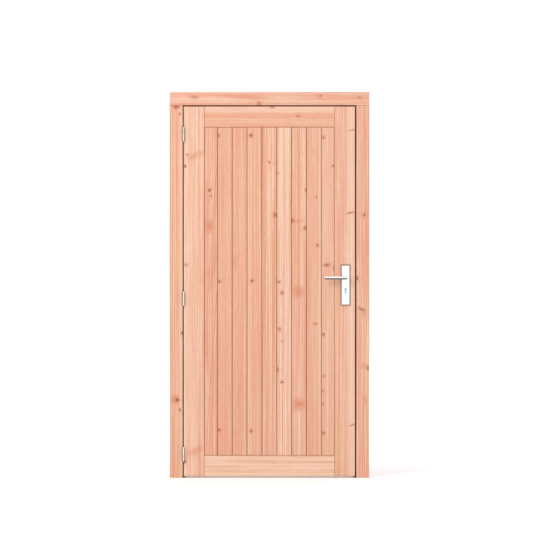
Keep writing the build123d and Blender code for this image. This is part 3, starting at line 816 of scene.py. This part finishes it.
grub = add_disc("grub_pattern", 12, GRUB_RADIUS)
pick(grub, "faces", socket_top)
bpy.ops.mesh.inset(thickness=GRUB_RADIUS * 0.3)
pick(grub, "verts", mid_side)
to_side = math.cos(math.pi / 6)
bpy.ops.transform.resize(value=(to_side, to_side, 1), center_override=(0, 0, PROUD))
pick(grub, "faces", lambda face: socket_top(face) and len(face.verts) == 12)
bpy.ops.mesh.extrude_region_move(TRANSFORM_OT_translate={"value": (0, 0, -STEM / 2)})
end_piece(grub, screw_finish)

nail = add_disc("nail_pattern", 16, NAIL_RADIUS)
pick(nail, "faces", socket_top)
bpy.ops.mesh.inset(thickness=NAIL_RADIUS * 0.45)
bpy.ops.transform.translate(value=(0, 0, -2 * PROUD))
end_piece(nail, screw_finish)
print("grub screw with", len(grub.data.polygons), "faces, nail head with", len(nail.data.polygons))

# %% Set the grub screws and the nails
NECK_OUT = 0.010
NAIL_MARGIN = 0.12
NAIL_IN = 0.010

for face, neck_y in (("front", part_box("front_plate")[0].y - NECK_OUT),
                     ("back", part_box("back_plate")[1].y + NECK_OUT)):
    spots = [(plate_middle, neck_y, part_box(face + "_lever")[0].z)]
    set_fasteners(face + "_grub_screw", grub, spots, (0, 0, -1), "handle")


def spread(start, end, count):
    """Even places between two ends, with a margin at each."""
    length = end - start - 2 * NAIL_MARGIN
    return [start + NAIL_MARGIN + length * step / (count - 1) for step in range(count)]


low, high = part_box("hinge_stop")
spots = [(high.x, low.y + NAIL_IN, z) for z in spread(low.z, high.z, 7)]
set_fasteners("hinge_stop_nails", nail, spots, (1, 0, 0), "frame")
low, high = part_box("lock_stop")
spots = [(low.x, low.y + NAIL_IN, z) for z in spread(low.z, high.z, 7)]
set_fasteners("lock_stop_nails", nail, spots, (-1, 0, 0), "frame")
low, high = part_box("head_stop")
spots = [(x, low.y + NAIL_IN, low.z) for x in spread(low.x, high.x, 4)]
set_fasteners("head_stop_nails", nail, spots, (0, 0, -1), "frame")
print("nails:", 7 + 7 + 4)

for pattern in (screw, grub, nail):
    bpy.data.objects.remove(pattern)

# %% [markdown]
# ## Floor, light and camera
#
# The door is shown straight from the front on white, as in a catalogue. A long lens far away keeps
# its sides parallel. A wide pale floor catches the shadow, and the sky is white to the camera and
# in the metal's reflections while it lights the wood at a gentler level. The floor glows a little
# to meet the white of the sky, but not in the narrow strip under the leaf, where it would shine
# through the gap.

# %% The white surroundings
SKY_LIGHT = 0.56
WHITE = (1, 1, 1, 1)
BLACK = (0, 0, 0, 1)

sky = Paint(bpy.data.worlds.new("studio_sky"))
bpy.context.scene.world = sky.owner
lights = sky.node("ShaderNodeBackground", None, {"Color": WHITE, "Strength": SKY_LIGHT})
shows = sky.node("ShaderNodeBackground", None, {"Color": WHITE, "Strength": 1.0})
either = sky.node("ShaderNodeMixShader", None, {0: sky.seen(), 1: lights, 2: shows})
sky.fill(sky.tree.nodes["World Output"], {"Surface": either})
bpy.context.scene.view_settings.view_transform = "Standard"
print("sky lights at", SKY_LIGHT)

# %% The floor
FLOOR_SIZE = 60.0
PAPER = (0.86, 0.86, 0.86, 1)
GLOW_NEAR, GLOW_FAR = 0.34, 1.0

bpy.ops.object.select_all(action="DESELECT")
bpy.ops.mesh.primitive_plane_add(size=FLOOR_SIZE, location=(cad_high.x / 2, 0, -0.0005))
floor = bpy.context.object
floor.name = "studio_floor"
paper = new_paint("white_paper")
spot = paper.node("ShaderNodeTexCoord", output="Object")
tooth = paper.noise(spot, (300, 300, 300), 1.0)
away = paper.node("ShaderNodeVectorMath", {"operation": "LENGTH"}, {0: spot}, output="Value")
across, back, _ = paper.split(spot)
under = paper.step(across.math("ABSOLUTE", across), 0.54, 0.46)
under = under * paper.step(back, -0.06, -0.03) * paper.step(back, 0.4, 0.1)
glow = paper.step(away, 1.0, 3.5, GLOW_NEAR, GLOW_FAR) * (1 - under * 0.95) * paper.seen()
paper.fill(paper.surface, {
    "Base Color": paper.mix(tooth * 0.1, PAPER, WHITE),
    "Roughness": 0.8 + tooth * 0.1,
    "Specular IOR Level": 0.0,
    "Emission Color": paper.mix(glow, BLACK, WHITE),
    "Emission Strength": 1.0,
})
floor.data.materials.append(paper.owner)
floor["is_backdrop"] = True
print("floor of", FLOOR_SIZE, "m")

# %% [markdown]
# ### Lamps and camera
#
# One wide lamp stands high at the front left, so the V-joints and the edges of the plate get a
# soft shaded side, and another lights the back for the other views. The camera stands 20 m away
# at the height that puts the door where the picture has it.

# %% The lamps and the camera
door_middle = Vector((cad_high.x / 2, 0, cad_high.z / 2))


def soft_box(name, place, wide, tall, watts):
    """A wide lamp that looks at the middle of the door."""
    lamp = bpy.data.lights.new(name, "AREA")
    lamp.shape, lamp.size, lamp.size_y, lamp.energy = "RECTANGLE", wide, tall, watts
    box = bpy.data.objects.new(name, lamp)
    box.location = place
    box.rotation_euler = (door_middle - box.location).to_track_quat("-Z", "Y").to_euler()
    bpy.context.scene.collection.objects.link(box)


soft_box("front_soft_box", Vector((-5.4, -9.5, 6.2)), 8.0, 7.0, 715)
soft_box("back_soft_box", Vector((4.0, 10.0, 6.0)), 9.0, 7.0, 420)

VIEW_WIDTH = 2.932
VIEW_CENTRE = (0.546, 1.123)
DISTANCE = 20.0

lens = bpy.data.cameras.new("front_camera")
lens.lens = lens.sensor_width * DISTANCE / VIEW_WIDTH
camera = bpy.data.objects.new("front_camera", lens)
camera.location = (VIEW_CENTRE[0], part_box("hinge_jamb")[0].y - DISTANCE, VIEW_CENTRE[1])
camera.rotation_euler = (math.pi / 2, 0, 0)
bpy.context.scene.collection.objects.link(camera)
bpy.context.scene.camera = camera
print("lens", round(lens.lens), "mm")

# %% [markdown]
# ## The size of the dressed door
#
# The dressed door has to fill the same box as the solids. Its box is printed here, and the box of
# the solids was printed when the model came in.

# %% Print the box of the dressed door
low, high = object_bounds()
print("visual box", tuple(low), tuple(high))
